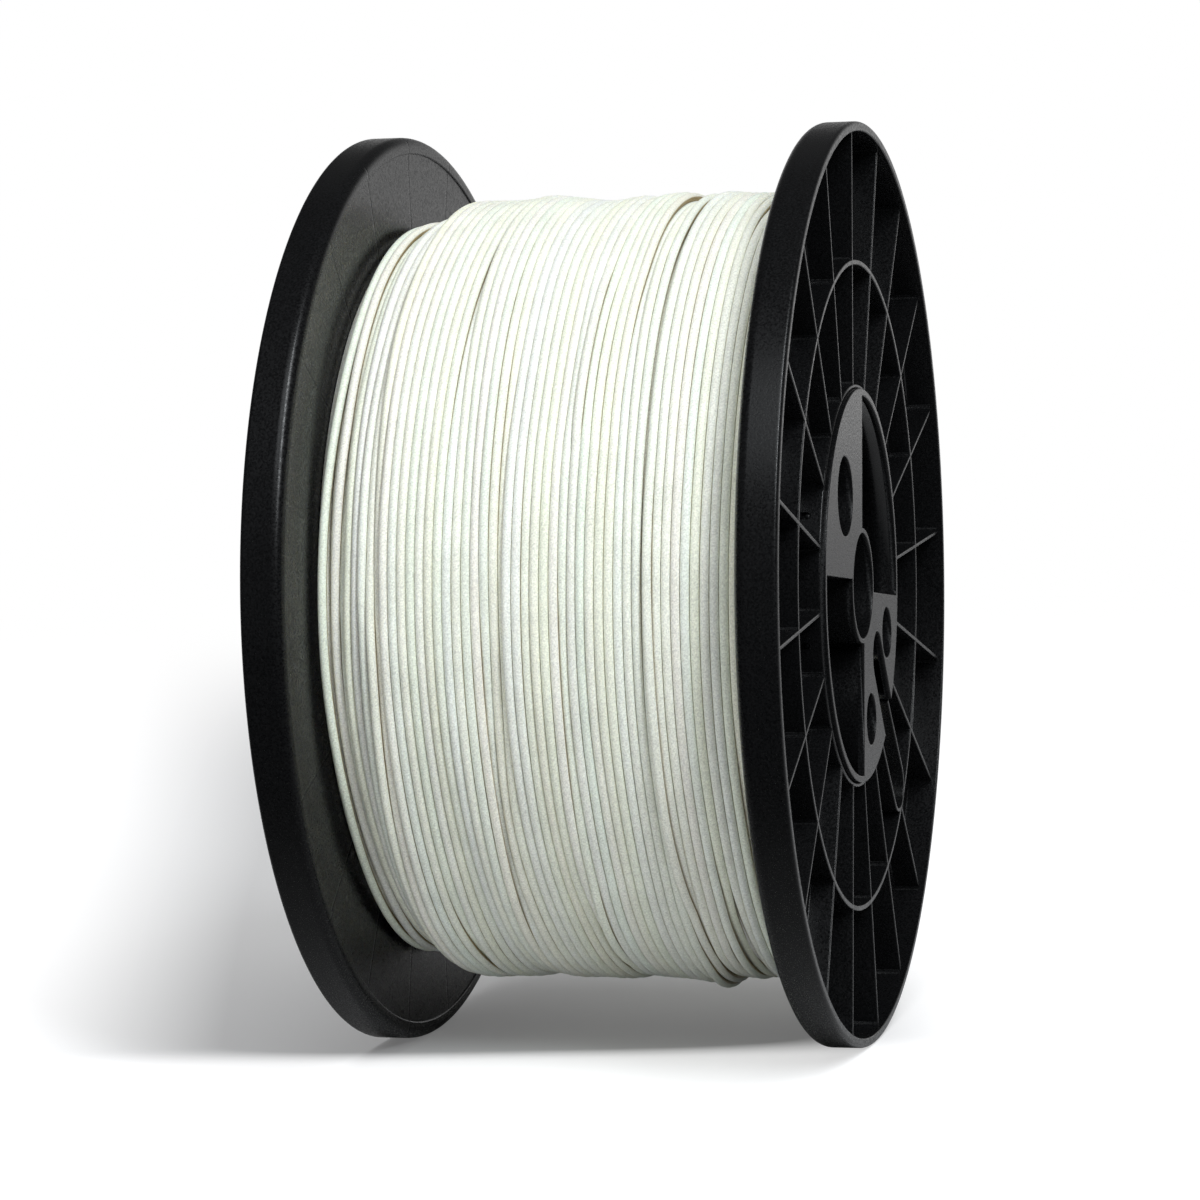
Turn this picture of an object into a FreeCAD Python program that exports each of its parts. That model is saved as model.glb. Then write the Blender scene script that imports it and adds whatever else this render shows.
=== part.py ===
"""A ribbed plastic filament reel, standing on its two rims, with filament wound on it.

The reel is two equal halves, turned back to back. Each half is a flange, which is a web with a
rim, a mid ring, radial ribs and a collar, and a hub, which is half of the barrel with a bore tube
and end plates over two opposite quadrants. The flange slides over the end of the barrel against a
seat ring, and pips on the barrel click into windows in its collar. The filament fills the space
between the flanges: a plain pack, and over it the turns of the outer layer as one strand.

Each half is drawn lying down: z runs out along the reel's axis from the middle of the reel, and x
and y are as they look from outside. In the finished reel the axis is Y, and Z is up.
"""
import FreeCAD
import Part

import os
import re
from math import cos, pi, sin

import Sketcher
from FreeCAD import Placement, Rotation, Vector

# Driving dimensions, in millimetres and degrees
SIZES = {
    # the whole reel
    "reel_width": 163.5,
    "rest_turn": 4.4,
    # flange
    "flange_diameter": 300.0,
    "rim_width": 13.3,
    "rim_wall": 3.1,
    "rim_lip": 5.5,
    "lip_step": 0.5,
    "shoulder_radius": 2.5,
    "edge_radius": 1.3,
    "web_thickness": 2.2,
    "mid_ring_diameter": 210.0,
    "mid_ring_wall": 1.6,
    "rib_count": 20,
    "rib_thickness": 1.2,
    "rib_rim_recess": 1.8,
    "collar_wall": 1.3,
    "collar_recess": 3.9,
    # hub
    "barrel_diameter": 128.4,
    "barrel_wall": 2.2,
    "hub_recess": 2.5,
    "plate_thickness": 2.2,
    "plate_gap": 1.7,
    "spoke_wall": 1.8,
    "bore_diameter": 34.5,
    "bore_wall": 1.55,
    "seat_height": 1.8,
    "seat_width": 2.0,
    "lap_length": 4.0,
    # round holes in the end plates, and the bosses behind them
    "drive_hole_diameter": 25.5,
    "drive_hole_radius": 41.7,
    "drive_hole_angle": 138.3,
    "pin_hole_diameter": 17.1,
    "pin_hole_radius": 46.0,
    "pin_hole_spread": 26.4,
    "boss_wall": 1.2,
    "boss_depth": 14.0,
    # slot for the start of the filament
    "slot_angle": -45.0,
    "slot_width": 16.4,
    "slot_offset": 2.4,
    "slot_inner_end": 34.5,
    "slot_wall": 1.2,
    # latches between collar and barrel
    "latch_spread": 18.0,
    "window_width": 2.4,
    "window_height": 3.2,
    "pip_diameter": 1.8,
    "pip_height": 1.1,
    # filament
    "filament_diameter": 2.85,
    "winding_diameter": 257.0,
    "slope_length": 23.4,
    "slope_drop": 6.5,
    "turn_count": 24,
    "strand_sides": 10,
    # clearances
    "slide_gap": 0.1,
    "loose_gap": 0.3,
}

# Places and sizes that follow from the driving dimensions
DERIVED = {
    "reel_end": "reel_width / 2",
    "flange_radius": "flange_diameter / 2",
    "lip_face": "reel_end - rim_width",
    "web_back": "lip_face + lip_step",
    "web_front": "web_back + web_thickness",
    "rim_inside": "flange_radius - rim_wall",
    "lip_inside": "flange_radius - rim_lip",
    "mid_ring_radius": "mid_ring_diameter / 2",
    "mid_ring_inside": "mid_ring_radius - mid_ring_wall / 2",
    "mid_ring_outside": "mid_ring_radius + mid_ring_wall / 2",
    "barrel_radius": "barrel_diameter / 2",
    "barrel_inside": "barrel_radius - barrel_wall",
    "collar_inside": "barrel_radius + slide_gap",
    "collar_middle": "collar_inside + collar_wall / 2",
    "collar_outside": "collar_inside + collar_wall",
    "collar_end": "reel_end - collar_recess",
    "rib_rim_end": "reel_end - rib_rim_recess",
    "rib_step": "360 / rib_count",
    "hub_end": "reel_end - hub_recess",
    "plate_back": "hub_end - plate_thickness",
    "bore_radius": "bore_diameter / 2",
    "bore_outside": "bore_radius + bore_wall",
    "seat_radius": "barrel_radius + seat_height",
    "seat_back": "web_back - seat_width",
    "lap_inside": "barrel_radius - barrel_wall / 2",
    "slot_half": "slot_width / 2",
    "slot_outer_end": "mid_ring_radius - slot_half",
    "window_middle": "web_front + window_height - window_width / 2",
    "winding_radius": "winding_diameter / 2",
    "pack_radius": "winding_radius - filament_diameter - loose_gap",
    "pack_inside": "barrel_radius + loose_gap",
    "pack_end": "web_back - loose_gap",
    "seat_clear_radius": "seat_radius + loose_gap",
    "seat_clear_end": "seat_back - loose_gap",
}

doc = FreeCAD.newDocument("filament_reel")


def fill_sheet():
    """Writes every size into the sheet, one row each, and gives it its name."""
    cells = doc.addObject("Spreadsheet::Sheet", "sizes")
    formulas = {name: "=" + formula for name, formula in DERIVED.items()}
    for row, (name, value) in enumerate({**SIZES, **formulas}.items(), start=1):
        cells.set(f"A{row}", name)
        cells.set(f"B{row}", str(value))
        cells.setAlias(f"B{row}", name)
        cells.recompute()
    return cells


sheet = fill_sheet()


def amount(expression):
    """The number that an expression of the sheet's names has now."""
    return float(sheet.evalExpression(expression))


def bind(item, place, expression):
    """Ties a property to an expression of the sheet's names."""
    names = set(SIZES) | set(DERIVED)
    linked = re.sub(r"[a-z_]+", lambda word: "sizes." + word[0] if word[0] in names else word[0], expression)
    item.setExpression(place, linked)


def make_body(label):
    body = doc.addObject("PartDesign::Body", label)
    body.Label = label
    return body


def origin_item(body, role):
    return next(item for item in body.Origin.OriginFeatures if item.Role == role)


def make_sketch(body, name, role, height=None, turn=None):
    """A sketch on one of the body's planes, raised by height and turned about the reel's axis."""
    sketch = body.newObject("Sketcher::SketchObject", f"{body.Label}_{name}")
    sketch.AttachmentSupport = [(origin_item(body, role), "")]
    sketch.MapMode = "FlatFace"
    # the reel's axis is the normal of the XY plane, and the upright of the other two
    axis = Vector(0, 0, 1) if role == "XY_Plane" else Vector(0, 1, 0)
    if turn is not None:
        sketch.AttachmentOffset = Placement(Vector(), Rotation(axis, 1))
        bind(sketch, "AttachmentOffset.Rotation.Angle", turn)
    if height is not None:
        bind(sketch, "AttachmentOffset.Base.z", height)
    return sketch


def hold(sketch, kind, *target, size):
    """Adds a dimension to the sketch and ties it to the sheet."""
    number = sketch.addConstraint(Sketcher.Constraint(kind, *target, amount(size)))
    bind(sketch, f"Constraints[{number}]", size)


def hold_point(sketch, line, end, x, y):
    """Holds a point of the sketch at x and y from the origin, where 0 means on the axis."""
    for kind, axis, size in (("DistanceX", -2, x), ("DistanceY", -1, y)):
        if size == "0":
            sketch.addConstraint(Sketcher.Constraint("PointOnObject", line, end, axis))
        else:
            hold(sketch, kind, -1, 1, line, end, size=size)


def polygon(sketch, corners):
    """A closed outline of straight lines through corners given as pairs of expressions."""
    first = sketch.GeometryCount
    points = [Vector(amount(x), amount(y), 0) for x, y in corners]
    count = len(points)
    for index, point in enumerate(points):
        sketch.addGeometry(Part.LineSegment(point, points[(index + 1) % count]))
    for index, (x, y) in enumerate(corners):
        line = first + index
        following = first + (index + 1) % count
        sketch.addConstraint(Sketcher.Constraint("Coincident", line, 2, following, 1))
        hold_point(sketch, line, 1, x, y)


def box_outline(sketch, left, bottom, right, top):
    polygon(sketch, [(left, bottom), (right, bottom), (right, top), (left, top)])


def circle(sketch, x, y, radius):
    number = sketch.addGeometry(Part.Circle(Vector(amount(x), amount(y), 0), Vector(0, 0, 1), amount(radius)))
    hold_point(sketch, number, 3, x, y)
    hold(sketch, "Radius", number, size=radius)


def line_between(sketch, start, end):
    return sketch.addGeometry(Part.LineSegment(Vector(*start, 0), Vector(*end, 0)))


def arc_between(sketch, centre, start, end):
    """The arc that runs anticlockwise about centre from start to end."""
    centre, start, end = (Vector(*point, 0) for point in (centre, start, end))
    whole = Part.Circle(centre, Vector(0, 0, 1), start.distanceToPoint(centre))
    return sketch.addGeometry(Part.ArcOfCircle(whole, whole.parameter(start), whole.parameter(end)))


def join(sketch, kind, *pairs):
    for pair in pairs:
        sketch.addConstraint(Sketcher.Constraint(kind, *pair))


def sector(sketch, inside, outside, margin):
    """A ring's quadrant of positive x and y, with both straight sides moved out by margin."""
    low, high, side = amount(inside), amount(outside), -amount(margin)
    near, far = (low ** 2 - side ** 2) ** 0.5, (high ** 2 - side ** 2) ** 0.5
    upright = line_between(sketch, (side, near), (side, far))
    outer = arc_between(sketch, (0, 0), (far, side), (side, far))
    level = line_between(sketch, (far, side), (near, side))
    inner = arc_between(sketch, (0, 0), (near, side), (side, near))
    join(sketch, "Coincident", (upright, 2, outer, 2), (outer, 1, level, 1), (level, 2, inner, 1),
         (inner, 2, upright, 1), (outer, 3, -1, 1), (inner, 3, -1, 1))
    join(sketch, "Vertical", (upright,))
    join(sketch, "Horizontal", (level,))
    hold(sketch, "Radius", outer, size=outside)
    hold(sketch, "Radius", inner, size=inside)
    hold(sketch, "DistanceX", -1, 1, upright, 1, size=f"-{margin}")
    hold(sketch, "DistanceY", -1, 1, level, 1, size=f"-{margin}")


def half_ring(sketch, inside, outside, margin):
    """The half of a ring on the side of positive x, cut off at x = margin."""
    low, high, side = amount(inside), amount(outside), amount(margin)
    near, far = (low ** 2 - side ** 2) ** 0.5, (high ** 2 - side ** 2) ** 0.5
    outer = arc_between(sketch, (0, 0), (side, -far), (side, far))
    upper = line_between(sketch, (side, far), (side, near))
    inner = arc_between(sketch, (0, 0), (side, -near), (side, near))
    lower = line_between(sketch, (side, -near), (side, -far))
    join(sketch, "Coincident", (outer, 2, upper, 1), (upper, 2, inner, 2), (inner, 1, lower, 1),
         (lower, 2, outer, 1), (outer, 3, -1, 1), (inner, 3, -1, 1))
    join(sketch, "Vertical", (upper,), (lower,))
    hold(sketch, "Radius", outer, size=outside)
    hold(sketch, "Radius", inner, size=inside)
    hold(sketch, "DistanceX", -1, 1, upper, 1, size=margin)
    hold(sketch, "DistanceX", -1, 1, lower, 1, size=margin)


def long_hole(sketch, start, end, offset, half):
    """A slot with round ends, centred on the points (start, offset) and (end, offset)."""
    left, right, middle, reach = (amount(size) for size in (start, end, offset, half))
    top = line_between(sketch, (left, middle + reach), (right, middle + reach))
    bottom = line_between(sketch, (left, middle - reach), (right, middle - reach))
    far = arc_between(sketch, (right, middle), (right, middle - reach), (right, middle + reach))
    near = arc_between(sketch, (left, middle), (left, middle + reach), (left, middle - reach))
    join(sketch, "Tangent", (top, 2, far, 2), (bottom, 2, far, 1), (top, 1, near, 1), (bottom, 1, near, 2))
    hold_point(sketch, far, 3, end, offset)
    hold_point(sketch, near, 3, start, offset)
    hold(sketch, "Radius", far, size=half)
    hold(sketch, "Radius", near, size=half)


def channel(sketch, root, end, offset, half):
    """A slot that starts square on a circle of radius root about the origin, with one round end."""
    low, right, middle, reach = (amount(size) for size in (root, end, offset, half))
    above, below = middle + reach, middle - reach
    upper = ((low ** 2 - above ** 2) ** 0.5, above)
    lower = ((low ** 2 - below ** 2) ** 0.5, below)
    top = line_between(sketch, upper, (right, above))
    bottom = line_between(sketch, lower, (right, below))
    far = arc_between(sketch, (right, middle), (right, below), (right, above))
    near = arc_between(sketch, (0, 0), lower, upper)
    join(sketch, "Tangent", (top, 2, far, 2), (bottom, 2, far, 1))
    join(sketch, "Coincident", (top, 1, near, 2), (bottom, 1, near, 1), (near, 3, -1, 1))
    join(sketch, "Horizontal", (top,))
    hold_point(sketch, far, 3, end, offset)
    hold(sketch, "Radius", far, size=half)
    hold(sketch, "Radius", near, size=root)


def revolve(body, sketch, cut=False):
    kind = "PartDesign::Groove" if cut else "PartDesign::Revolution"
    feature = body.newObject(kind, sketch.Name + ("_groove" if cut else "_turned"))
    feature.Profile = (sketch, [""])
    feature.ReferenceAxis = (sketch, ["V_Axis"])
    feature.Angle = 360
    doc.recompute()
    return feature


def raise_pad(body, sketch, length, reverse=False, both_ways=False):
    feature = body.newObject("PartDesign::Pad", sketch.Name + "_pad")
    feature.Profile = (sketch, [""])
    feature.SideType = "Symmetric" if both_ways else "One side"
    feature.Reversed = reverse
    bind(feature, "Length", length)
    doc.recompute()
    return feature


def cut_pocket(body, sketch, length, reverse=False, both_ways=False):
    """A pocket, checked to have taken something away."""
    before = body.Shape.Volume
    feature = body.newObject("PartDesign::Pocket", sketch.Name + "_pocket")
    feature.Profile = (sketch, [""])
    feature.SideType = "Symmetric" if both_ways else "One side"
    feature.Reversed = reverse
    bind(feature, "Length", length)
    doc.recompute()
    if body.Shape.Volume > before - 0.1:
        raise RuntimeError(f"{feature.Name} cuts nothing")
    return feature


def repeat_round(body, feature, count):
    """Copies of the feature, evenly spaced about the reel's axis."""
    pattern = body.newObject("PartDesign::PolarPattern", feature.Name + "_round")
    pattern.Originals = [feature]
    pattern.Axis = (origin_item(body, "Z_Axis"), [""])
    pattern.Angle = 360
    bind(pattern, "Occurrences", count)
    body.Tip = pattern
    doc.recompute()
    return pattern


def round_rim_edge(body, feature, height, radius):
    """Rounds the circle at the rim's outer corner that lies at the given height."""
    names = []
    for number, edge in enumerate(feature.Shape.Edges, start=1):
        curve = edge.Curve
        at_rim = curve.TypeId == "Part::GeomCircle" and abs(curve.Radius - amount("flange_radius")) < 0.01
        if at_rim and abs(curve.Center.z - amount(height)) < 0.01:
            names.append(f"Edge{number}")
    fillet = body.newObject("PartDesign::Fillet", f"{body.Label}_{radius}")
    fillet.Base = (feature, names)
    bind(fillet, "Radius", radius)
    doc.recompute()
    return fillet


def make_flange(label):
    """A ribbed flange: web, rim, mid ring, ribs and collar, with the slot's channel through them."""
    body = make_body(label)

    profile = make_sketch(body, "profile", "XZ_Plane")
    polygon(profile, [
        ("collar_inside", "web_back"), ("lip_inside", "web_back"), ("lip_inside", "lip_face"),
        ("flange_radius", "lip_face"), ("flange_radius", "reel_end"), ("rim_inside", "reel_end"),
        ("rim_inside", "web_front"), ("collar_outside", "web_front"), ("collar_outside", "collar_end"),
        ("collar_inside", "collar_end")])
    dish = revolve(body, profile)
    rounded = round_rim_edge(body, dish, "reel_end", "edge_radius")
    round_rim_edge(body, rounded, "lip_face", "shoulder_radius")

    ring = make_sketch(body, "mid_ring", "XZ_Plane")
    box_outline(ring, "mid_ring_inside", "web_front", "mid_ring_outside", "rib_rim_end")
    revolve(body, ring)

    rib = make_sketch(body, "rib", "XZ_Plane", turn="rib_step / 2")
    box_outline(rib, "collar_middle", "web_front", "rim_inside + rim_wall / 2", "rib_rim_end")
    repeat_round(body, raise_pad(body, rib, "rib_thickness", both_ways=True), "rib_count")

    walls = make_sketch(body, "slot_walls", "XY_Plane", height="web_back", turn="slot_angle")
    channel(walls, "collar_middle", "slot_outer_end", "slot_offset", "slot_half + slot_wall")
    raise_pad(body, walls, "rib_rim_end - web_back")

    # the front edges of ribs, ring and walls slope in towards the collar
    slope = make_sketch(body, "front_slope", "XZ_Plane")
    polygon(slope, [("collar_inside", "collar_end"), ("collar_outside", "collar_end"),
                    ("rim_inside", "rib_rim_end"), ("rim_inside", "reel_end"), ("collar_inside", "reel_end")])
    revolve(body, slope, cut=True)

    slot = make_sketch(body, "slot", "XY_Plane", height="reel_end", turn="slot_angle")
    long_hole(slot, "slot_inner_end", "slot_outer_end", "slot_offset", "slot_half")
    cut_pocket(body, slot, "rim_width")

    for name, side in (("window_one", "latch_spread"), ("window_two", "-latch_spread")):
        window = make_sketch(body, name, "YZ_Plane", turn=side)
        circle(window, "0", "window_middle", "window_width / 2")
        cut_pocket(body, window, "2 * collar_outside + 1", both_ways=True)
        foot = make_sketch(body, name + "_foot", "YZ_Plane", turn=side)
        box_outline(foot, "-window_width / 2", "web_front", "window_width / 2", "window_middle")
        cut_pocket(body, foot, "2 * collar_outside + 1", both_ways=True)
    return body


def make_hub(label):
    """Half of the barrel, with its bore tube, two end plates, their spokes and their holes."""
    body = make_body(label)

    profile = make_sketch(body, "profile", "XZ_Plane")
    polygon(profile, [
        ("bore_radius", "0"), ("bore_outside", "0"), ("bore_outside", "plate_back"),
        ("barrel_inside", "plate_back"), ("barrel_inside", "0"), ("barrel_radius", "0"),
        ("barrel_radius", "hub_end"), ("bore_radius", "hub_end")])
    revolve(body, profile)

    # two opposite quadrants are open to this end
    quadrant = make_sketch(body, "open_quadrant", "XY_Plane", height="hub_end")
    sector(quadrant, "bore_outside", "barrel_inside", "plate_gap")
    repeat_round(body, cut_pocket(body, quadrant, "plate_thickness"), "2")

    # a spoke stands behind each straight side of each end plate
    spokes = make_sketch(body, "spokes", "XY_Plane")
    root, tip = "bore_radius + bore_wall / 2", "barrel_inside + barrel_wall / 2"
    box_outline(spokes, "-plate_gap - spoke_wall", root, "-plate_gap", tip)
    box_outline(spokes, f"-({tip})", "plate_gap", f"-({root})", "plate_gap + spoke_wall")
    repeat_round(body, raise_pad(body, spokes, "plate_back"), "2")

    seat = make_sketch(body, "seat_ring", "XZ_Plane")
    box_outline(seat, "barrel_radius", "seat_back", "seat_radius", "web_back")
    revolve(body, seat)

    drive = ("drive_hole", "drive_hole_radius", "drive_hole_angle", "drive_hole_diameter / 2")
    pins = [(name, "pin_hole_radius", angle, "pin_hole_diameter / 2")
            for name, angle in (("pin_hole_one", "slot_angle + pin_hole_spread"),
                                ("pin_hole_two", "slot_angle - pin_hole_spread"))]
    for name, distance, angle, radius in (drive, *pins):
        boss = make_sketch(body, name + "_boss", "XY_Plane", height="hub_end", turn=angle)
        circle(boss, distance, "0", f"{radius} + boss_wall")
        raise_pad(body, boss, "boss_depth", reverse=True)
        hole = make_sketch(body, name, "XY_Plane", height="hub_end", turn=angle)
        circle(hole, distance, "0", radius)
        cut_pocket(body, hole, "boss_depth")

    slot = make_sketch(body, "slot", "XY_Plane", height="hub_end", turn="slot_angle")
    long_hole(slot, "slot_inner_end", "slot_outer_end", "slot_offset", "slot_half")
    cut_pocket(body, slot, "hub_end - web_back")

    # the halves of the barrel lap at the middle: a lip on one side, a rebate on the other
    lip = make_sketch(body, "lap_lip", "XY_Plane")
    half_ring(lip, "lap_inside + slide_gap", "barrel_radius", "loose_gap")
    raise_pad(body, lip, "lap_length", reverse=True)
    rebate = make_sketch(body, "lap_rebate", "XY_Plane", turn="180")
    half_ring(rebate, "lap_inside", "barrel_radius + slide_gap", "slide_gap")
    cut_pocket(body, rebate, "lap_length + slide_gap", reverse=True)

    pip_turns = ("latch_spread", "-latch_spread", "180 - latch_spread", "180 + latch_spread")
    for number, turn in enumerate(pip_turns, start=1):
        pip = make_sketch(body, f"pip_{number}", "YZ_Plane", turn=turn)
        bind(pip, "AttachmentOffset.Base.x", f"lap_inside * sin(({turn}) * 1deg)")
        bind(pip, "AttachmentOffset.Base.z", f"lap_inside * cos(({turn}) * 1deg)")
        circle(pip, "0", "window_middle", "pip_diameter / 2")
        raise_pad(body, pip, "barrel_radius + pip_height - lap_inside")
    return body


def make_pack(label):
    """The wound filament under its outer layer, with a slope where it falls off at one flange."""
    body = make_body(label)
    profile = make_sketch(body, "profile", "XZ_Plane")
    polygon(profile, [
        ("pack_inside", "-seat_clear_end"), ("seat_clear_radius", "-seat_clear_end"),
        ("seat_clear_radius", "-pack_end"), ("pack_radius - slope_drop", "-pack_end"),
        ("pack_radius", "slope_length - pack_end"), ("pack_radius", "pack_end"),
        ("seat_clear_radius", "pack_end"), ("seat_clear_radius", "seat_clear_end"),
        ("pack_inside", "seat_clear_end")])
    revolve(body, profile)
    return body


def strand_point(turns):
    """The middle of the strand, after a number of turns from the end at the sloping side."""
    reach = amount("pack_end - filament_diameter / 2")
    height = -reach + 2 * reach * turns / amount("turn_count")
    fall = max(0.0, amount("slope_length - pack_end") - height) / amount("slope_length")
    radius = amount("winding_radius - filament_diameter / 2") - fall * amount("slope_drop")
    angle = 2 * pi * turns
    return Vector(radius * cos(angle), radius * sin(angle), height)


def strand_way(turns):
    """The direction in which the strand runs there."""
    step = 0.001
    return (strand_point(turns + step) - strand_point(turns - step)).normalize()


def arc_from(start, way, end):
    """The arc that leaves start along way and passes through end."""
    chord = end - start
    along = Vector(chord).normalize()
    side = way - along * way.dot(along)
    half_turn = way.getAngle(chord) / 2
    bulge = side.normalize() * (chord.Length / 2 * sin(half_turn) / cos(half_turn))
    return Part.Arc(start, start + chord / 2 + bulge, end).toShape()


def biarc(start, start_way, end, end_way):
    """Two arcs from start to end that share a tangent where they meet."""
    chord = end - start
    total = start_way + end_way
    slack = 2 * (1 - start_way.dot(end_way))
    reach = ((chord.dot(total) ** 2 + slack * chord.dot(chord)) ** 0.5 - chord.dot(total)) / slack
    meet = (start + end + (start_way - end_way) * reach) / 2
    meet_way = (meet - start - start_way * reach).normalize()
    return [arc_from(start, start_way, meet), arc_from(meet, meet_way, end)]


def strand_mouth(middle, way):
    """The faceted outline of the strand, square to the way it runs."""
    sides = int(amount("strand_sides"))
    outward = Vector(middle.x, middle.y, 0).normalize()
    across = way.cross(outward)
    reach = amount("filament_diameter / 2")
    corners = [middle + outward * (reach * cos(2 * pi * index / sides))
               + across * (reach * sin(2 * pi * index / sides)) for index in range(sides)]
    return Part.makePolygon(corners + corners[:1])


def make_outer_turns(label):
    """The outer layer of the winding as one tube, in a biarc for each half turn."""
    halves = int(2 * amount("turn_count"))
    points = [strand_point(index / 2) for index in range(halves + 1)]
    ways = [strand_way(index / 2) for index in range(halves + 1)]
    width = amount("filament_diameter")
    run_in = points[0] - ways[0] * width
    run_out = points[-1] + ways[-1] * width
    edges = [Part.LineSegment(run_in, points[0]).toShape()]
    for index in range(halves):
        edges += biarc(points[index], ways[index], points[index + 1], ways[index + 1])
    edges.append(Part.LineSegment(points[-1], run_out).toShape())
    spine = Part.Wire(edges)
    mouth = strand_mouth(run_in, ways[0])
    tube = spine.makePipeShell([mouth], True, False)
    expected = Part.Face(mouth).Area * spine.Length
    print(f"{label}: {spine.Length:.0f} mm of strand, {tube.Volume / expected:.4f} of section times length")
    print_gap(label)
    turns = doc.addObject("Part::Feature", label)
    turns.Label = label
    turns.Shape = tube
    return turns


def print_gap(label):
    """Prints the least gap between one turn and the next, measured on points of the strand."""
    steps = 36
    count = int(steps * amount("turn_count"))
    points = [strand_point(index / steps) for index in range(count + 1)]
    nearest = min(points[index].distanceToPoint(other)
                  for index in range(count + 1)
                  for other in points[index + steps // 2:index + 2 * steps])
    print(f"{label}: least gap to itself {nearest - amount('filament_diameter'):.3f} mm")


def stand_up(item, half_turn):
    """Stands a piece up with its z along the reel's axis, turned back to back for the far half."""
    lying = Rotation(Vector(1, 0, 0), 90)
    facing = Rotation(Vector(0, 0, 1), half_turn)
    resting = Rotation(Vector(0, 1, 0), amount("rest_turn"))
    item.Placement = Placement(Vector(), resting * facing * lying)


pieces = []
for side, half_turn in (("front", 0), ("back", 180)):
    for make_piece, name in ((make_flange, "flange"), (make_hub, "hub")):
        piece = make_piece(f"{side}_{name}")
        stand_up(piece, half_turn)
        pieces.append(piece)
for make_piece, name in ((make_pack, "filament_pack"), (make_outer_turns, "filament_outer_turns")):
    piece = make_piece(name)
    stand_up(piece, 0)
    pieces.append(piece)
doc.recompute()

for item in doc.Objects:
    if "Invalid" in item.State or "Error" in item.State:
        raise RuntimeError(f"{item.Name} failed: {item.State}")
for piece in pieces:
    if piece.Shape.isNull() or not piece.Shape.isValid():
        raise RuntimeError(f"{piece.Label} has no valid shape")

os.makedirs("parts", exist_ok=True)
for piece in pieces:
    solids = len(piece.Shape.Solids)
    print(f"{piece.Label}: {solids} solid, {piece.Shape.Volume / 1000:.1f} cm3")
    piece.Shape.exportStep(f"parts/{piece.Label}.step")
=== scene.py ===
# Looks of a large ribbed plastic filament reel, standing on its two rims and wound with off-white filament.
# Lengths in the dictionaries are millimetres; meshes and places are metres, in the frame's own axes:
# the reel's axis is Y, -Y is the end that shows, and Z is up.
import math

import bpy
import numpy as np
from mathutils import Matrix, Vector
from mathutils.geometry import tessellate_polygon


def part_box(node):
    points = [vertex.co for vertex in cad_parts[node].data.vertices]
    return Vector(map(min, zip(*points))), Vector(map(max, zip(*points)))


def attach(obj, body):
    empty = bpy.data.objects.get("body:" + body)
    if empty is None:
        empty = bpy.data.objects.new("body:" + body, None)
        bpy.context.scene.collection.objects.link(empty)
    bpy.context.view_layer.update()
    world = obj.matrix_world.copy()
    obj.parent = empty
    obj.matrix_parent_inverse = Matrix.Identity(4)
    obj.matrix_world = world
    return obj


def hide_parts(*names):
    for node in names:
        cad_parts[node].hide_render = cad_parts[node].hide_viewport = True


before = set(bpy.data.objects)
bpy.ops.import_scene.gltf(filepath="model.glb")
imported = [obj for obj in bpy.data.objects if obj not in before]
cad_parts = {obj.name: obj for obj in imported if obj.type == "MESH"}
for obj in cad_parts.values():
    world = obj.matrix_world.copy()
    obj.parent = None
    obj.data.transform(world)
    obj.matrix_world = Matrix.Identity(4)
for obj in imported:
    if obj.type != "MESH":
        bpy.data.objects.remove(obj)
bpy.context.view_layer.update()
mm = 0.001

flangeLow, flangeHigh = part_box("front_flange")
reelEnd = -flangeLow.y
flangeRadius = flangeHigh.z
print("frame loaded: reel", round(2 * reelEnd, 4), "m wide, flange radius", round(flangeRadius, 4), "m")


# meshes

def gridQuads(rows, columns, closedAlong=False, closedAcross=True):
    # the faces of a grid of points; they look along (way of the rows) x (way of the columns)
    first, second = np.meshgrid(np.arange(rows if closedAlong else rows - 1),
                                np.arange(columns if closedAcross else columns - 1), indexing="ij")
    nextRow, nextColumn = (first + 1) % rows, (second + 1) % columns
    return np.stack([first * columns + second, nextRow * columns + second,
                     nextRow * columns + nextColumn, first * columns + nextColumn], -1).reshape(-1, 4)


def unitAt(angle):
    return np.stack([np.cos(angle), np.sin(angle)], -1)


def unitRows(vectors):
    return vectors / np.linalg.norm(vectors, axis=1, keepdims=True)


def addPiece(name, points, faces, smooth=True):
    # points is (n, 3) in metres, faces are lists of point numbers, smooth is one value or one per face
    mesh = bpy.data.meshes.new(name)
    mesh.from_pydata(points.tolist(), [], faces)
    mesh.polygons.foreach_set("use_smooth", np.full(len(faces), smooth))
    mesh.update()
    piece = bpy.data.objects.new(name, mesh)
    bpy.context.scene.collection.objects.link(piece)
    return piece


def smoothNoise(count, sigma, seed):
    # white noise blurred along its length by a bell curve of width sigma, scaled to a spread of one
    tail = 4 * int(sigma)
    draw = np.random.default_rng(seed).normal(size=count + 2 * tail + 2)
    bell = np.exp(-0.5 * (np.arange(-tail, tail + 1) / sigma) ** 2)
    line = np.convolve(draw, bell / bell.sum(), mode="valid")[:count]
    return line / line.std()


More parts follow.
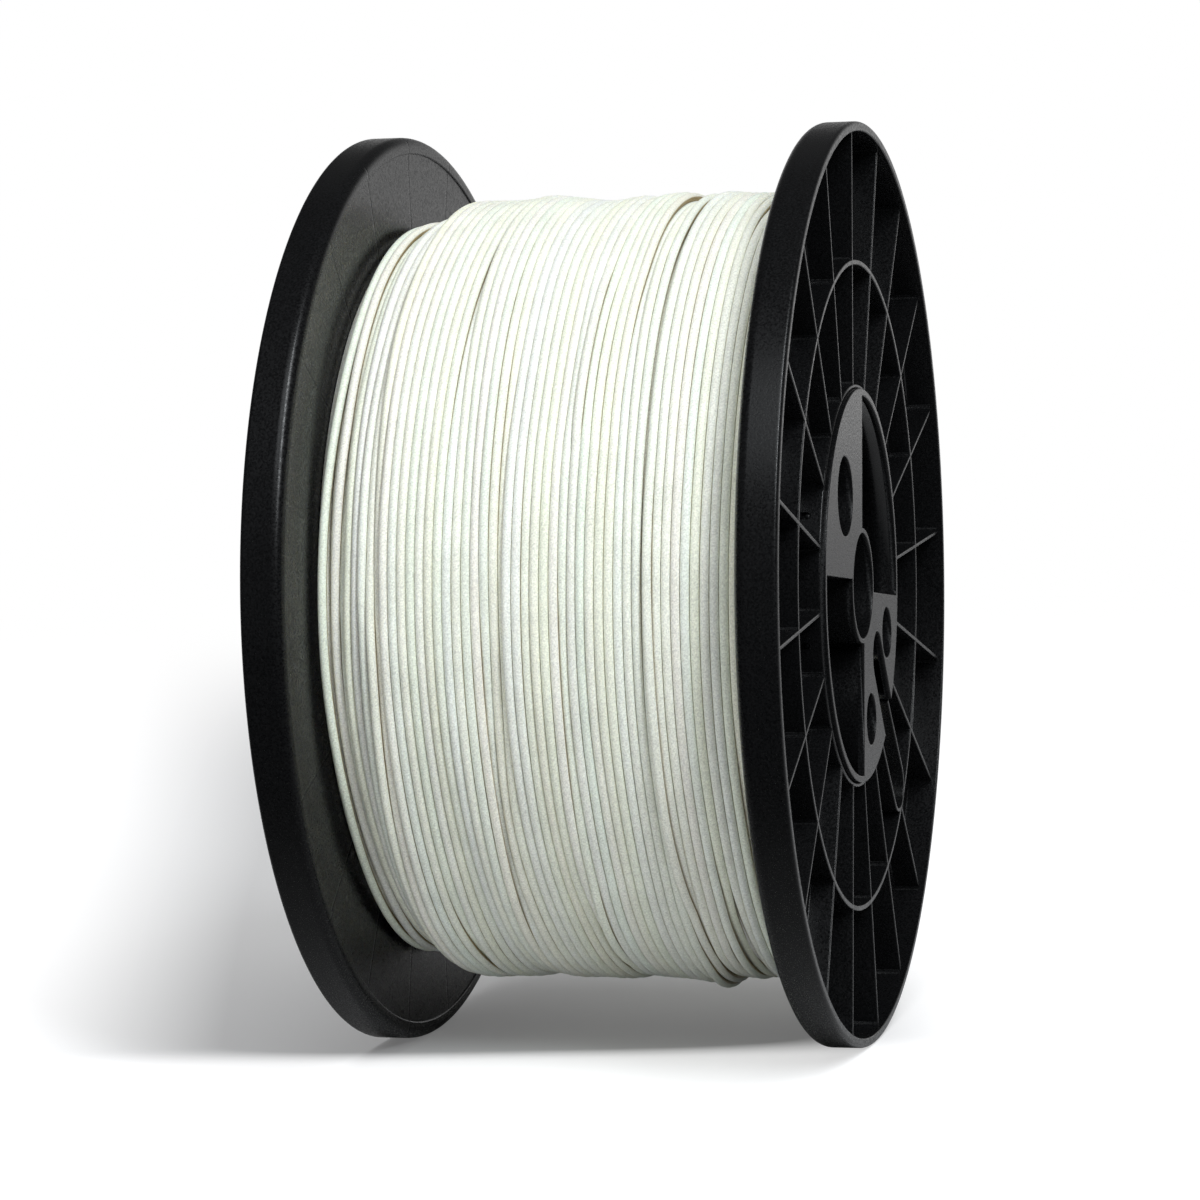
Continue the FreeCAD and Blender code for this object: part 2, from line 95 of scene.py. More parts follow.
def strandPiece(name, path, outward, radius, sides):
    # a round tube: each ring is path + radius * (cos(t) * outward + sin(t) * across), where across is
    # the unit vector square to the way the path runs and to outward; both ends are closed, and its map
    # runs 0 to 1 along the strand and 0 to 1 around it
    way = unitRows(np.gradient(path, axis=0))
    out = unitRows(outward - way * (outward * way).sum(1, keepdims=True))
    across = np.cross(out, way)
    turn = np.arange(sides) * 2 * np.pi / sides
    rings = (path[:, None] + radius * (np.cos(turn)[None, :, None] * out[:, None]
                                       + np.sin(turn)[None, :, None] * across[:, None]))
    points = np.concatenate([rings.reshape(-1, 3), path[:1], path[-1:]])
    count = len(path)
    quads = gridQuads(count, sides)
    lap = np.arange(sides)
    after = (lap + 1) % sides
    lastRing = (count - 1) * sides
    start = np.stack([np.full(sides, count * sides), lap, after], -1)
    end = np.stack([np.full(sides, count * sides + 1), lastRing + after, lastRing + lap], -1)
    piece = addPiece(name, points, quads.tolist() + start.tolist() + end.tolist())
    around = np.stack([quads[:, 0] % sides, quads[:, 1] % sides, quads[:, 0] % sides + 1,
                       quads[:, 1] % sides + 1], -1) / sides
    uv = np.zeros((len(piece.data.loops), 2), np.float32)
    uv[:quads.size, 0] = (quads // sides / (count - 1)).ravel()
    uv[:quads.size, 1] = around.ravel()
    piece.data.uv_layers.new(name="strand").data.foreach_set("uv", uv.ravel())
    piece.data.update()
    return piece


# shader groups and materials

def feed(tree, node, sources):
    # gives each input that is named a value, or the output of another node
    for label, source in sources.items():
        if isinstance(source, bpy.types.NodeSocket):
            tree.links.new(source, node.inputs[label])
        else:
            node.inputs[label].default_value = source


def addNode(tree, kind, place, sources=None, **settings):
    node = tree.nodes.new("ShaderNode" + kind)
    node.location = place
    for key, value in settings.items():
        setattr(node, key, value)
    feed(tree, node, sources or {})
    return node


def addMath(tree, place, operation, *sources):
    # one sum on values or outputs, in the order of the node's inputs; gives its output
    return addNode(tree, "Math", place, dict(enumerate(sources)), operation=operation).outputs[0]


def mapSpan(tree, place, source, low, high, toLow=0.0, toHigh=1.0, kind="SMOOTHSTEP"):
    # carries the source from low-high onto toLow-toHigh; gives its output
    spans = {"Value": source, "From Min": low, "From Max": high, "To Min": toLow, "To Max": toHigh}
    return addNode(tree, "MapRange", place, spans, interpolation_type=kind).outputs[0]


def newGroup(name, inputs, outputs):
    # gives the group, its own inputs and the node that takes what it puts out
    group = bpy.data.node_groups.new(name, "ShaderNodeTree")
    for label, kind, value in inputs:
        socket = group.interface.new_socket(label, in_out="INPUT", socket_type="NodeSocket" + kind)
        socket.default_value = value
    for label, kind in outputs:
        group.interface.new_socket(label, in_out="OUTPUT", socket_type="NodeSocket" + kind)
    return group, group.nodes.new("NodeGroupInput").outputs, group.nodes.new("NodeGroupOutput")


def newMaterial(name):
    material = bpy.data.materials.new(name)
    material.use_nodes = True
    return material, material.node_tree, material.node_tree.nodes["Principled BSDF"]


speckleLook = {
    "fineDetail": 3,
    "broadDetail": 2,
    "broadScale": 0.04,
    "broadShare": 0.25,
    "span": (0.325, 0.925),
}


def buildSpeckle():
    # fine grain for colour and height: a fine noise with a share of a broader one added. The sum is
    # carried from its span onto -1 to 1, and the colour is scaled by one plus the spread times that
    look = speckleLook
    group, inputs, outputs = newGroup(
        "fineSpeckle",
        [("Vector", "Vector", (0, 0, 0)), ("Scale", "Float", 900.0),
         ("Colour", "Color", (0.5, 0.5, 0.5, 1)), ("Spread", "Float", 0.1)],
        [("Colour", "Color"), ("Height", "Float")])
    place, scale = inputs["Vector"], inputs["Scale"]
    fine = addNode(group, "TexNoise", (-400, 100),
                   {"Vector": place, "Scale": scale, "Detail": look["fineDetail"]}).outputs[0]
    broadScale = addMath(group, (-600, -250), "MULTIPLY", scale, look["broadScale"])
    broad = addNode(group, "TexNoise", (-400, -200),
                    {"Vector": place, "Scale": broadScale, "Detail": look["broadDetail"]}).outputs[0]
    both = addMath(group, (-200, 0), "MULTIPLY_ADD", broad, look["broadShare"], fine)
    level = mapSpan(group, (0, 0), both, *look["span"], -1, 1, "LINEAR")
    amount = addMath(group, (150, 0), "MULTIPLY", level, inputs["Spread"])
    share = addMath(group, (300, 0), "ADD", amount, 1)
    tint = addNode(group, "VectorMath", (450, 0), {0: inputs["Colour"], "Scale": share}, operation="SCALE")
    feed(group, outputs, {"Colour": tint.outputs[0], "Height": fine})
    return group


speckle = buildSpeckle()


# the reel's mouldings

reelLook = {
    "restTurn": 4.4,
    "end": 81.75,
    "rimOutside": 150.0,
    "rimInside": 146.9,
    "rimEdge": 1.3,
    "rimInnerEdge": 0.45,
    "rimFoot": 0.7,
    "shoulder": 3.5,
    "lipInside": 144.5,
    "lipEdge": 0.42,
    "lipFace": 68.45,
    "webBack": 68.95,
    "webFront": 71.15,
    "midRing": (104.2, 105.8),
    "ringGap": 2.07,
    "ribs": 20,
    "firstRib": 9.0,
    "ribThickness": 1.2,
    "collar": (64.3, 65.6),
    "collarEnd": 77.85,
    "collarEdge": 0.55,
    "ribRimEnd": 79.95,
    "edge": 0.32,
    "foot": 0.55,
    "corner": 1.15,
    "barrel": (62.0, 64.2),
    "bore": (17.25, 18.8),
    "seat": (66.0, 66.95),
    "hubEnd": 79.25,
    "plateBack": 77.05,
    "plateGap": 1.7,
    "spokeWall": 1.8,
    "bossWall": 1.2,
    "bossDepth": 14.0,
    "driveHole": (41.7, 138.3, 12.75),
    "pinHoles": ((46.0, -18.6, 8.55), (46.0, -71.4, 8.55)),
    "slotTurn": -45.0,
    "slotHalf": 8.2,
    "slotOffset": 2.4,
    "slotEnds": (34.5, 96.8),
    "slotWall": 1.2,
    "notchStart": 66.0,
    "latchSpread": 18.0,
    "window": (2.4, 3.2),
    "pip": (0.9, 1.1),
    "pipEdge": 0.25,
    "pipSides": 20,
    "fineEdge": 0.05,
    "sharp": 0.01,
    "support": 0.07,
    "tuck": 0.5,
}


def buildSinkMarks():
    # shallow sink marks on the inner faces of the webs, behind each rib: the angle about Y is folded
    # at half the ribs' pitch, times the radius it is the way to the nearest rib, and a soft band of it
    # is kept only where the place along Y is the inner face
    group, inputs, outputs = newGroup("ribSinkMarks", [("Vector", "Vector", (0, 0, 0))],
                                      [("Height", "Float")])
    ribTurn = math.radians(reelLook["firstRib"] - reelLook["restTurn"])
    x, y, z = addNode(group, "SeparateXYZ", (-1000, 0), {0: inputs["Vector"]}).outputs
    angle = addMath(group, (-800, 100), "ARCTAN2", z, x)
    fromRib = addMath(group, (-650, 100), "SUBTRACT", angle, ribTurn)
    folded = addMath(group, (-500, 100), "PINGPONG", fromRib, math.pi / reelLook["ribs"])
    flat = addNode(group, "CombineXYZ", (-800, -100), {0: x, 1: z}).outputs[0]
    radius = addNode(group, "VectorMath", (-650, -100), {0: flat}, operation="LENGTH").outputs["Value"]
    away = addMath(group, (-350, 0), "MULTIPLY", folded, radius)
    band = mapSpan(group, (-200, 0), away, 0.0, plasticLook["sinkHalfBand"] * mm, -1, 0)
    depth = addMath(group, (-650, -300), "ABSOLUTE", y)
    inside = addMath(group, (-500, -300), "LESS_THAN", depth, plasticLook["sinkFace"] * mm)
    feed(group, outputs, {"Height": addMath(group, (0, 0), "MULTIPLY", band, inside)})
    return group


plasticLook = {
    "colour": (0.0045, 0.0046, 0.005, 1),
    "roughness": (0.18, 0.42),
    "roughnessSpan": (0.3, 0.7),
    "specular": 0.28,
    "grainScale": 1400.0,
    "grainSpread": 0.55,
    "bump": 0.50,
    "grainDepth": 0.05,
    "sinkDepth": 0.11,
    "sinkHalfBand": 0.9,
    "sinkFace": 69.3,
}


def reelPlastic():
    # the grain gives the tint, the height and the gloss; its bump lies over that of the sink marks
    look = plasticLook
    material, tree, shader = newMaterial("satinBlackPlastic")
    place = addNode(tree, "TexCoord", (-900, 0)).outputs["Object"]
    grain = addNode(tree, "Group", (-600, 0),
                    {"Vector": place, "Scale": look["grainScale"], "Colour": look["colour"],
                     "Spread": look["grainSpread"]}, node_tree=speckle).outputs
    sinks = addNode(tree, "Group", (-600, -400), {"Vector": place}, node_tree=buildSinkMarks())
    sunk = addNode(tree, "Bump", (-400, -400),
                   {"Strength": 1.0, "Distance": look["sinkDepth"] * mm, "Height": sinks.outputs["Height"]})
    bump = addNode(tree, "Bump", (-250, -200),
                   {"Strength": look["bump"], "Distance": look["grainDepth"] * mm,
                    "Height": grain["Height"], "Normal": sunk.outputs["Normal"]})
    satin = mapSpan(tree, (-300, 100), grain["Height"], *look["roughnessSpan"], *look["roughness"], "LINEAR")
    feed(tree, shader, {"Base Color": grain["Colour"], "Roughness": satin,
                        "Specular IOR Level": look["specular"], "Normal": bump.outputs["Normal"]})
    return material


def frontHeight(radius):
    # the fronts of ribs, ring and walls rise evenly from the collar to the rim
    size = reelLook
    share = (radius - size["collar"][1]) / (size["rimInside"] - size["collar"][1])
    return size["collarEnd"] + (size["ribRimEnd"] - size["collarEnd"]) * np.clip(share, 0, 1)


def toWorld(points, half):
    # a half's own frame has its axis along z, outwards: the front half looks along -Y, the back half
    # is the same moulding turned half way round Z, and both are turned by the reel's rest angle
    turn = math.radians(reelLook["restTurn"])
    x, y, z = points[:, 0], points[:, 1], points[:, 2]
    if half == "front":
        place = (x * math.cos(turn) + y * math.sin(turn), -z, y * math.cos(turn) - x * math.sin(turn))
    else:
        place = (-x * math.cos(turn) + y * math.sin(turn), z, y * math.cos(turn) + x * math.sin(turn))
    return np.stack(place, -1) * mm


class Shell:
    # gathers closed surfaces into one mesh; each surface is points, faces and whether it shades smooth
    def __init__(self):
        self.points, self.faces, self.smooth, self.count = [], [], [], 0

    def add(self, points, faces, smooth):
        self.points.append(points)
        self.faces += (faces + self.count).tolist()
        self.smooth.append(np.full(len(faces), smooth))
        self.count += len(points)

    def addGrid(self, grid, **closed):
        # grid is (stations, places, 3)
        self.add(grid.reshape(-1, 3), gridQuads(*grid.shape[:2], **closed), True)

    def addLoft(self, grid):
        # a closed body: rings of places carried along stations, with both ends shut
        self.addGrid(grid)
        for ring, order in ((grid[0], 1), (grid[-1], -1)):
            self.add(ring, np.arange(len(ring))[None, ::order], False)

    def make(self, name, half, material):
        points = toWorld(np.concatenate(self.points), half)
        piece = addPiece(name, points, self.faces, np.concatenate(self.smooth))
        piece.data.materials.append(material)
        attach(piece, "root")
        return piece


def roundCorners(corners, steps=4):
    # each corner (x, y, radius) of a closed outline becomes an arc that touches both its sides, with one
    # more point just before and after it, so that the flats stay flat when shaded smooth
    support = reelLook["support"]
    data = np.array(corners, float)
    centre, radius = data[:, :2], data[:, 2:3]
    before = unitRows(np.roll(centre, 1, axis=0) - centre)
    after = unitRows(np.roll(centre, -1, axis=0) - centre)
    angle = np.arccos(np.clip((before * after).sum(1, keepdims=True), -1, 1))
    tangent = radius / np.tan(angle / 2)
    middle = centre + unitRows(before + after) * radius / np.sin(angle / 2)
    first, last = centre + before * tangent, centre + after * tangent
    share = np.linspace(0, 1, steps + 1)[None, :, None]
    sweep = (math.pi - angle)[:, None]
    arc = middle[:, None] + (np.sin((1 - share) * sweep) * (first - middle)[:, None]
                             + np.sin(share * sweep) * (last - middle)[:, None]) / np.sin(sweep)
    whole = np.concatenate([(first + before * support)[:, None], arc, (last + after * support)[:, None]], 1)
    return whole.reshape(-1, 2)


def revolved(profile, steps):
    # an outline in (radius, height), anticlockwise, turned about the axis
    angle = np.arange(steps) * 2 * np.pi / steps
    return np.stack([profile[None, :, 0] * np.cos(angle)[:, None],
                     profile[None, :, 0] * np.sin(angle)[:, None],
                     profile[None, :, 1] + 0 * angle[:, None]], -1)


def wallSection(thickness, edge, foot):
    # the outline of a wall across its run, as offset, height and a mark: 0 keeps to the wall's foot and
    # 1 to its top; round at the top edges, and hollowed out into what it stands on at the foot
    arc = np.linspace(0, math.pi / 2, 5)
    half = thickness / 2
    support = reelLook["support"]
    low = np.stack([half + foot * (1 - np.sin(arc)), foot * (1 - np.cos(arc)), 0 * arc], -1)
    high = np.stack([half - edge * (1 - np.cos(arc)), -edge * (1 - np.sin(arc)), 0 * arc + 1], -1)
    tuck = np.array([[half + foot, -reelLook["tuck"], 0]])
    rise = np.array([[half, foot + support, 0], [half, -edge - support, 1]])
    flat = np.array([[half - edge - reelLook["fineEdge"], 0, 1]])
    right = np.concatenate([tuck, low, rise, high, flat])
    left = right[::-1] * np.array([-1, 1, 1])
    return np.concatenate([right, left])


def wallAlong(path, side, foot, top, section):
    # the section carried along path: place = path + offset * side, height = foot or top + its own height
    mark = section[None, :, 2]
    height = section[None, :, 1] + foot[:, None] * (1 - mark) + top[:, None] * mark
    place = path[:, None] + section[None, :, 0, None] * side[:, None]
    return np.concatenate([place, height[:, :, None]], -1)


def slotEdge(grow, start):
    # the slot's outline, from its near end round its far end and back, grown by grow, in slot axes
    size = reelLook
    half = size["slotHalf"] + grow
    turn = np.linspace(-math.pi / 2, math.pi / 2, 25)
    far = np.array([size["slotEnds"][1], size["slotOffset"]]) + half * unitAt(turn)
    run = np.linspace(start, size["slotEnds"][1], 8)[:-1]
    below = np.stack([run, size["slotOffset"] - half + 0 * run], -1)
    above = np.stack([run[::-1], size["slotOffset"] + half + 0 * run], -1)
    return np.concatenate([below, far, above])


def turned(points, degrees):
    angle = math.radians(degrees)
    spin = np.array([[math.cos(angle), math.sin(angle)], [-math.sin(angle), math.cos(angle)]])
    return points @ spin


def circleLoop(x, y, radius, steps=72):
    return np.array([x, y]) + radius * unitAt(np.arange(steps) * 2 * np.pi / steps)


def notchedCircle(radius, grow, steps=240):
    # a circle about the axis, anticlockwise, with the slot let into it
    size = reelLook
    half = size["slotHalf"] + grow
    high = math.asin((size["slotOffset"] + half) / radius)
    low = math.asin((size["slotOffset"] - half) / radius)
    angle = np.linspace(high, 2 * math.pi + low, steps)
    return radius * unitAt(angle)


def addPlate(shell, loops, low, high, edgeLow, edgeHigh):
    # a flat plate: loops[0] is its outline, anticlockwise, and the rest are holes, clockwise; the edge
    # is an arc from each face into the side, and both faces are cut into triangles
    arc = np.linspace(0, math.pi / 2, 4)
    inset = np.concatenate([edgeLow * (1 - np.sin(arc)), edgeHigh * (1 - np.cos(arc))])
    height = np.concatenate([low + edgeLow * (1 - np.cos(arc)), high - edgeHigh * (1 - np.sin(arc))])
    tooSmall = 1e-9
    faces = {0: [], -1: []}
    for loop in loops:
        way = np.roll(loop, -1, axis=0) - np.roll(loop, 1, axis=0)
        out = unitRows(np.stack([way[:, 1], -way[:, 0]], -1))
        flat = loop[:, None] - out[:, None] * inset[None, :, None]
        grid = np.concatenate([flat, np.broadcast_to(height[None, :, None], flat.shape[:2] + (1,))], -1)
        shell.addGrid(np.concatenate([grid, grid[:1]]), closedAcross=False)
        for end in faces:
            faces[end].append(grid[:, end])
    for end, rings in faces.items():
        triangles = np.array(tessellate_polygon([[Vector(point) for point in ring] for ring in rings]))
        points = np.concatenate(rings)
        corner = points[triangles]
        area = np.cross(corner[:, 1, :2] - corner[:, 0, :2], corner[:, 2, :2] - corner[:, 0, :2])
        wrong = (area > 0) == (end == 0)
        triangles[wrong] = triangles[wrong][:, ::-1]
        shell.add(points, triangles[np.abs(area) > tooSmall], False)


def addCorners(shell, radius, ribAngles, faceSide):
    # upright hollow corners where a rib meets a ring or the rim: a quarter arc cut from a square post
    size = reelLook
    reach, sunk, footDepth = size["corner"], -0.2, 0.3
    arc = np.linspace(0, math.pi / 2, 5)
    hollow = np.stack([reach * (1 - np.sin(arc)), reach * (1 - np.cos(arc))], -1)
    post = np.concatenate([[[sunk, sunk], [reach, sunk]], hollow, [[sunk, reach]]])
    for ribSide in (1, -1):
        section = post[::-1] if ribSide * faceSide > 0 else post
        across = ribSide * (size["ribThickness"] / 2 + section[:, 1])
        along = radius + faceSide * section[:, 0]
        top = float(frontHeight(radius)) - size["edge"]
        for angle in ribAngles:
            flat = turned(np.stack([along, across], -1), angle)
            shell.addLoft(np.stack([np.concatenate([flat, np.full((len(flat), 1), height)], 1)
                                    for height in (size["webFront"] - footDepth, top)]))


def makeFlange(half, material):
    size = reelLook
    shell = Shell()
    front, sharp = size["webFront"], size["sharp"]
    inside, lip, buried = size["rimInside"], size["lipInside"], front - 1
    # the rim with its lip; its last three corners lie hidden in the web
    rim = roundCorners([
        (lip, size["lipFace"], size["lipEdge"]), (size["rimOutside"], size["lipFace"], size["shoulder"]),
        (size["rimOutside"], size["end"], size["rimEdge"]), (inside, size["end"], size["rimInnerEdge"]),
        (inside, front, size["rimFoot"]), (inside - 1.2, front - 0.02, sharp),
        (inside - 1.6, buried, sharp), (lip, buried, sharp)], steps=8)
    shell.addGrid(revolved(rim, 480), closedAlong=True)

    # the web: its edge lies inside the rim, and its hole is the collar's bore with the slot let in
    slotTurn, halfWall, webOverlap = size["slotTurn"], size["slotWall"] / 2, 0.4
    notch = np.concatenate([notchedCircle(size["collar"][0], halfWall),
                            slotEdge(halfWall, size["notchStart"])])
    outline = circleLoop(0, 0, inside - webOverlap, steps=360)
    addPlate(shell, [outline, turned(notch, slotTurn)[::-1]], size["webBack"], front,
             size["fineEdge"], size["fineEdge"])

    # ribs from inside the collar into the rim; the one in the slot's channel starts at the mid ring
    ribSection = wallSection(size["ribThickness"], size["edge"], size["foot"])
    ribAngles = size["firstRib"] + 360 / size["ribs"] * np.arange(size["ribs"])
    inChannel = np.isclose((ribAngles - slotTurn) % 360, 0)
    stations, inCollar, inRim = 9, 0.6, 0.8
    for angle, short in zip(ribAngles, inChannel):
        start = size["midRing"][1] if short else size["collar"][0] + inCollar
        along = np.linspace(start, inside + inRim, stations)
        way, side = (turned(np.array([unit]), angle) for unit in ((1.0, 0.0), (0.0, -1.0)))
        shell.addLoft(wallAlong(along[:, None] * way, np.repeat(side, stations, axis=0), front + 0 * along,
                                frontHeight(along), ribSection))

    # the mid ring, which stops at both sides of the slot
    ringSection = wallSection(size["midRing"][1] - size["midRing"][0], size["edge"], size["foot"])
    ringMiddle = sum(size["midRing"]) / 2
    slotMiddle = slotTurn + math.degrees(math.asin(size["slotOffset"] / ringMiddle))
    angle = np.linspace(slotMiddle + size["ringGap"], slotMiddle + 360 - size["ringGap"], 300)
    way = unitAt(np.radians(angle))
    shell.addLoft(wallAlong(ringMiddle * way, way, front + 0 * angle,
                            frontHeight(ringMiddle) + 0 * angle, ringSection))

    # the collar stands on the web, with an arched window at each latch and a gap at the slot
    collarSection = wallSection(size["collar"][1] - size["collar"][0], size["collarEdge"], 0.0)
    collarMiddle = sum(size["collar"]) / 2
    channelSide = size["slotHalf"] + halfWall
    gap = [math.degrees(math.asin((size["slotOffset"] + side) / collarMiddle))
           for side in (-channelSide, channelSide)]
    latches = np.array([0, 180])[:, None] + size["latchSpread"] * np.array([-1, 1])
    halfWindow = size["window"][0] / 2
    across = np.linspace(-halfWindow, halfWindow, 13)
    hair = 0.001
    sunk = -size["tuck"]
    reach = np.concatenate([[-halfWindow - hair], across, [halfWindow + hair]])
    arch = size["window"][1] - halfWindow + np.sqrt(np.clip(halfWindow ** 2 - across ** 2, 0, None))
    lift = np.concatenate([[sunk], arch, [sunk]])
    start, end = slotTurn + gap[1], slotTurn + gap[0] + 360
    plain = np.linspace(start, end, 260)
    near = [latch + np.degrees(reach / collarMiddle) for latch in (latches.ravel() % 360)]
    fromLatch = np.min(np.abs((plain[:, None] - latches.ravel()[None] + 180) % 360 - 180), axis=1)
    inWindow = fromLatch < math.degrees((halfWindow + 10 * hair) / collarMiddle)
    placed = [(np.where(turn < start, turn + 360, turn), lift) for turn in near]
    placed = [(np.where(turn > end, turn - 360, turn), rise) for turn, rise in placed]
    placed.append((plain[~inWindow], np.full((~inWindow).sum(), sunk)))
    angle = np.concatenate([turn for turn, rise in placed])
    foot = np.concatenate([rise for turn, rise in placed])
    order = np.argsort(angle, kind="stable")
    way = unitAt(np.radians(angle[order]))
    collarTop = np.full(len(order), size["collarEnd"])
    shell.addLoft(wallAlong(collarMiddle * way, way, front + foot[order], collarTop, collarSection))

    # the slot's own walls, from the web's back to the front slope
    inCollar = 0.3
    wallMiddle = slotEdge(halfWall, size["collar"][0] + inCollar)
    run = np.gradient(wallMiddle, axis=0)
    side = unitRows(np.stack([run[:, 1], -run[:, 0]], -1))
    section = wallSection(size["slotWall"], size["edge"], 0.0)
    radius = np.linalg.norm(wallMiddle, axis=1)
    foot = np.full(len(radius), size["webBack"] + size["tuck"])
    shell.addLoft(wallAlong(turned(wallMiddle, slotTurn), turned(side, slotTurn), foot,
                            frontHeight(radius), section))

    whole = ribAngles[~inChannel]
    addCorners(shell, inside, ribAngles, -1)
    addCorners(shell, size["midRing"][1], whole, 1)
    addCorners(shell, size["midRing"][0], whole, -1)
    addCorners(shell, size["collar"][1], whole, 1)
    piece = shell.make(half + "FlangeShell", half, material)
    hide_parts(half + "_flange")


def makeHub(half, material):
    size = reelLook
    shell = Shell()
    low, high = size["plateBack"], size["hubEnd"]
    sharp, tubeEdge = size["sharp"], 0.1
    (boreInside, boreOutside), (inner, outer) = size["bore"], size["barrel"]

    # the end face: barrel end, bore tube end and two plates in one plane, with the slot's near end,
    # two open quadrants and three holes let in
    slotStart, slotHalf, slotOffset = size["slotEnds"][0], size["slotHalf"], size["slotOffset"]
    slotEnd = np.linspace(math.pi / 2, 3 * math.pi / 2, 25)
    slotNear = np.array([slotStart, slotOffset]) + slotHalf * unitAt(slotEnd)
    lowSide = np.linspace(slotStart, inner, 12)[1:]
    slotBelow = np.stack([lowSide, slotOffset - slotHalf + 0 * lowSide], -1)
    slotAbove = np.stack([lowSide[::-1], slotOffset + slotHalf + 0 * lowSide], -1)
    outline = np.concatenate([notchedCircle(outer, 0.0), slotBelow[::-1], slotNear[::-1], slotAbove[::-1]])
    gap = size["plateGap"]
    reachOut, reachIn = math.asin(gap / inner), math.asin(gap / boreOutside)
    arcOut = np.linspace(-reachOut, math.pi / 2 + reachOut, 60)
    arcIn = np.linspace(math.pi / 2 + reachIn, -reachIn, 30)
    quadrant = np.concatenate([inner * unitAt(arcOut), boreOutside * unitAt(arcIn)])
    holes = [circleLoop(0, 0, boreInside, steps=96), quadrant, -quadrant]
    bosses = []
    for distance, angle, radius in (size["driveHole"], *size["pinHoles"]):
        turn = math.radians(angle)
        bosses.append((distance * math.cos(turn), distance * math.sin(turn), radius))
        holes.append(circleLoop(*bosses[-1]))
    addPlate(shell, [turned(outline, size["slotTurn"])] + [hole[::-1] for hole in holes], low, high,
             0.0, size["edge"])

    # tubes under it: bore, bosses and barrel
    bore = roundCorners([(boreInside, 0, tubeEdge), (boreOutside, 0, tubeEdge), (boreOutside, low, sharp),
                         (boreInside, low, sharp)])
    shell.addGrid(revolved(bore, 120), closedAlong=True)
    foot, bossEdge = high - size["bossDepth"], 0.2
    for x, y, radius in bosses:
        outside = radius + size["bossWall"]
        tube = roundCorners([(radius, foot, bossEdge), (outside, foot, bossEdge), (outside, low, sharp),
                             (radius, low, sharp)])
        shell.addGrid(revolved(tube, 72) + np.array([x, y, 0]), closedAlong=True)
    seatRadius, seatEnd = size["seat"]
    seatEdge = 0.3
    barrel = roundCorners([(inner, 0, tubeEdge), (outer, 0, tubeEdge), (outer, seatEnd, sharp),
                           (seatRadius, seatEnd, seatEdge), (seatRadius, size["webBack"], tubeEdge),
                           (inner, size["webBack"], sharp)])
    shell.addGrid(revolved(barrel, 300), closedAlong=True)

    # the barrel's wall beyond the seat, open at the slot
    steps = 300
    lapped = notchedCircle(sum(size["barrel"]) / 2, 0.0, steps)
    halfWall = (outer - inner) / 2
    band = np.array([[halfWall, 0, 0], [halfWall, 0, 1], [-halfWall, 0, 1], [-halfWall, 0, 0]])
    shell.addLoft(wallAlong(turned(lapped, size["slotTurn"]), turned(unitRows(lapped), size["slotTurn"]),
                            np.full(steps, size["webBack"] - tubeEdge), np.full(steps, low), band))

    # spokes behind the plates' straight sides
    inBore, inBarrel = 0.6, 0.8
    near, far = boreOutside - inBore, inner + inBarrel
    thick = size["spokeWall"]
    for turn in (0, 180):
        for corners in (((-gap - thick, near), (-gap, near), (-gap, far), (-gap - thick, far)),
                        ((-far, gap), (-near, gap), (-near, gap + thick), (-far, gap + thick))):
            flat = turned(np.array(corners[::-1]), turn)
            shell.addLoft(np.stack([np.concatenate([flat, np.full((4, 1), height)], 1)
                                    for height in (0.0, low)]))

    # latch pips on the barrel, in the collar's windows
    height = size["webFront"] + size["window"][1] - size["window"][0] / 2
    pipRadius, pipReach = size["pip"]
    reach = outer + np.array([-1.0, pipReach - size["pipEdge"], pipReach, pipReach])
    width = pipRadius * np.array([1, 1, 0.75, 0.02])
    sides, spread = size["pipSides"], size["latchSpread"]
    around = np.arange(sides) * 2 * np.pi / sides
    for angle in (spread, -spread, 180 - spread, 180 + spread):
        flat = np.stack([reach[:, None] + 0 * around, width[:, None] * np.cos(around)], -1)
        spun = turned(flat.reshape(-1, 2), angle).reshape(4, sides, 2)
        rise = height - width[:, None] * np.sin(around)
        shell.addLoft(np.concatenate([spun, rise[:, :, None]], -1))
    piece = shell.make(half + "HubShell", half, material)
    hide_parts(half + "_hub")


# winding

windingLook = {
    "strand": 2.95,
    "outerRadius": 128.5,
    "slopeLength": 23.4,
    "slopeDrop": 7.5,
    "stepShare": 0.62,
    "stepSpan": (0.08, 0.50),
    "halfWidth": 68.65,
    "farGap": 1.0,
    "turns": 49,
    "stations": 168,
    "sides": 12,
    "underTurns": 45,
    "underStations": 64,
    "underSides": 8,
    "underDepth": 1.15,
    "buriedTurns": 0.08,
    "buriedDepth": 1.0,
    "wander": 0.70,
    "wanderLength": 0.20,
    "bunching": 0.50,
    "lumps": 0.40,
    "lumpWaves": (14, 60),
    "lumpLaps": (1, 6),
    "dive": 2.3,
    "diveLength": 0.12,
    "diveFrom": 0.7,
    "diveSpan": 0.7,
    "bulge": {"across": -35.0, "spread": 2.6, "angle": 262, "arc": 22, "height": 2.8},
    "gap": {"across": -53.0, "spread": 1.6, "angle": 243, "arc": 13, "depth": 4.5},
    "seed": 15,
    "packSteps": 500,
    "easedSteps": 470,
    "stepDown": 0.04,
    "easing": 0.4,
    "pullBack": 0.01,
}


def windingProfile(across):
    # the radius of the outer layer's middle line over the place across the reel, in millimetres:
    # level, then a fall to the far flange: most of it in one smooth step, the rest evenly
    size = windingLook
    start = size["halfWidth"] - size["slopeLength"]
    share = np.clip((across - start) / size["slopeLength"], 0, 1)
    low, high = size["stepSpan"]
    step = np.clip((share - low) / (high - low), 0, 1)
    step = step * step * (3 - 2 * step)
    fall = size["slopeDrop"] * (size["stepShare"] * step + (1 - size["stepShare"]) * share)
    return size["outerRadius"] - size["strand"] / 2 - fall


